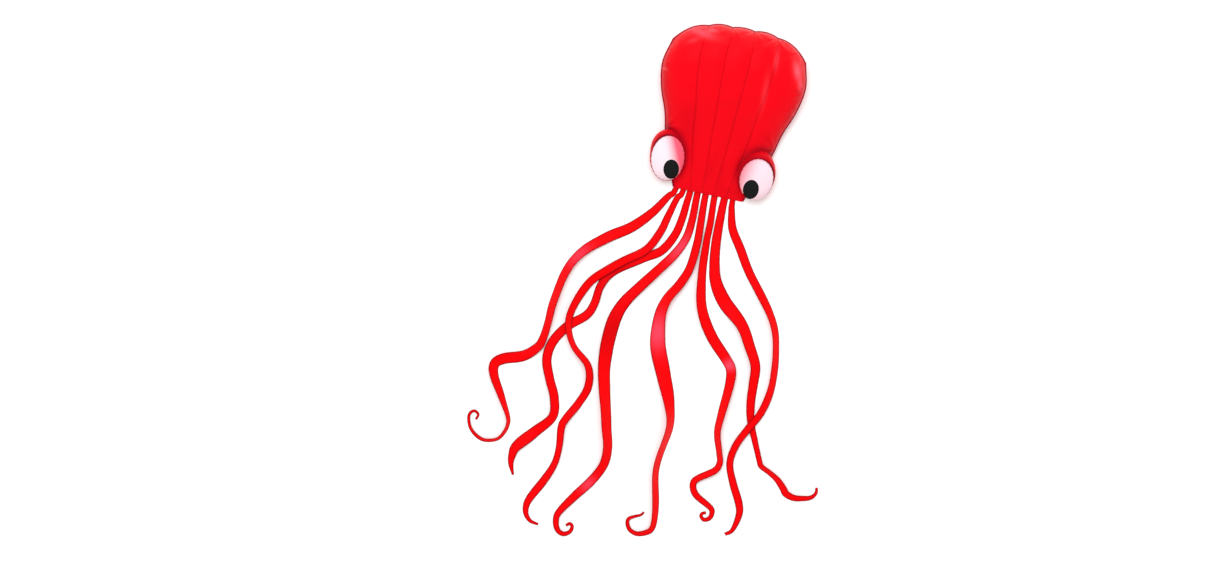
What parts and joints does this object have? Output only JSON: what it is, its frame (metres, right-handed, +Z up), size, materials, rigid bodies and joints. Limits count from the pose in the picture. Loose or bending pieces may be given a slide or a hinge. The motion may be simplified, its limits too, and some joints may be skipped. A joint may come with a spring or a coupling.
{
  "type": "octopus kite",
  "caption": "Frameless octopus kite of thin red cloth with an inflated ribbed head, bulging eyes and long tapered ribbon tentacles, lying on its belly.",
  "frame": {"origin": "centre of the belly's flat rest face, on the surface that the kite lies on", "axes": "+X across the head, +Y from the trailing edge to the leading edge, +Z up, out of the kite's back"},
  "size_m": [1.9513, 2.8947, 0.2273],
  "materials": {
    "head_cloth": "thin calendered ripstop nylon, soft sheen",
    "ribbon_cloth": "thin nylon ribbon with rolled hems, soft sheen",
    "binding_tape": "folded grosgrain binding tape, matt",
    "intake_mesh": "open net, matt",
    "eye_white": "white ripstop nylon, soft sheen",
    "pupil_cloth": "black nylon patch, satin",
    "webbing": "black woven webbing, matt"
  },
  "bodies": {
    "head": {"back_panel_left_outer": "head_cloth", "back_panel_left_inner": "head_cloth", "back_panel_centre": "head_cloth", "back_panel_right_inner": "head_cloth", "back_panel_right_outer": "head_cloth", "belly_panel_left_outer": "head_cloth", "belly_panel_left_inner": "head_cloth", "belly_panel_centre": "head_cloth", "belly_panel_right_inner": "head_cloth", "belly_panel_right_outer": "head_cloth", "intake_mesh_left_inner": "intake_mesh", "intake_mesh_centre": "intake_mesh", "intake_mesh_right_inner": "intake_mesh", "intake_binding": "binding_tape", "rib_1": "head_cloth", "rib_2": "head_cloth", "rib_3": "head_cloth", "rib_4": "head_cloth", "bridle_tab_rear_1": "webbing", "bridle_tab_front_1": "webbing", "bridle_tab_rear_2": "webbing", "bridle_tab_front_2": "webbing", "bridle_tab_rear_3": "webbing", "bridle_tab_front_3": "webbing", "bridle_tab_rear_4": "webbing", "bridle_tab_front_4": "webbing", "trailing_edge_tape": "binding_tape", "eye_pod_left": "head_cloth", "eye_white_left": "eye_white", "eye_binding_left": "binding_tape", "pupil_left": "pupil_cloth", "eye_pod_right": "head_cloth", "eye_white_right": "eye_white", "eye_binding_right": "binding_tape", "pupil_right": "pupil_cloth"},
    "tentacle_1": {"tentacle_1": "ribbon_cloth"},
    "tentacle_2": {"tentacle_2": "ribbon_cloth"},
    "tentacle_3": {"tentacle_3": "ribbon_cloth"},
    "tentacle_4": {"tentacle_4": "ribbon_cloth"},
    "tentacle_5": {"tentacle_5": "ribbon_cloth"},
    "tentacle_6": {"tentacle_6": "ribbon_cloth"},
    "tentacle_7": {"tentacle_7": "ribbon_cloth"},
    "tentacle_8": {"tentacle_8": "ribbon_cloth"}
  },
  "joints": [
    {"name": "tentacle_1_lift", "type": "hinge", "parent": "head", "child": "tentacle_1", "pos_m": [-0.176, -0.4435, 0.003], "axis": [-1, 0, 0], "range_deg": [0, 60]},
    {"name": "tentacle_2_lift", "type": "hinge", "parent": "tentacle_3", "child": "tentacle_2", "pos_m": [-0.135, -0.4435, 0.003], "axis": [-1, 0, 0], "range_deg": [0, 60]},
    {"name": "tentacle_3_lift", "type": "hinge", "parent": "head", "child": "tentacle_3", "pos_m": [-0.098, -0.4435, 0.003], "axis": [-1, 0, 0], "range_deg": [0, 60]},
    {"name": "tentacle_4_lift", "type": "hinge", "parent": "head", "child": "tentacle_4", "pos_m": [-0.057, -0.4435, 0.003], "axis": [-1, 0, 0], "range_deg": [0, 60]},
    {"name": "tentacle_5_lift", "type": "hinge", "parent": "head", "child": "tentacle_5", "pos_m": [-0.012, -0.4435, 0.003], "axis": [-1, 0, 0], "range_deg": [0, 60]},
    {"name": "tentacle_6_lift", "type": "hinge", "parent": "head", "child": "tentacle_6", "pos_m": [0.038, -0.4435, 0.003], "axis": [-1, 0, 0], "range_deg": [0, 60]},
    {"name": "tentacle_7_lift", "type": "hinge", "parent": "head", "child": "tentacle_7", "pos_m": [0.093, -0.4435, 0.003], "axis": [-1, 0, 0], "range_deg": [0, 60]},
    {"name": "tentacle_8_lift", "type": "hinge", "parent": "tentacle_7", "child": "tentacle_8", "pos_m": [0.138, -0.4435, 0.003], "axis": [-1, 0, 0], "range_deg": [0, 60]}
  ]
}
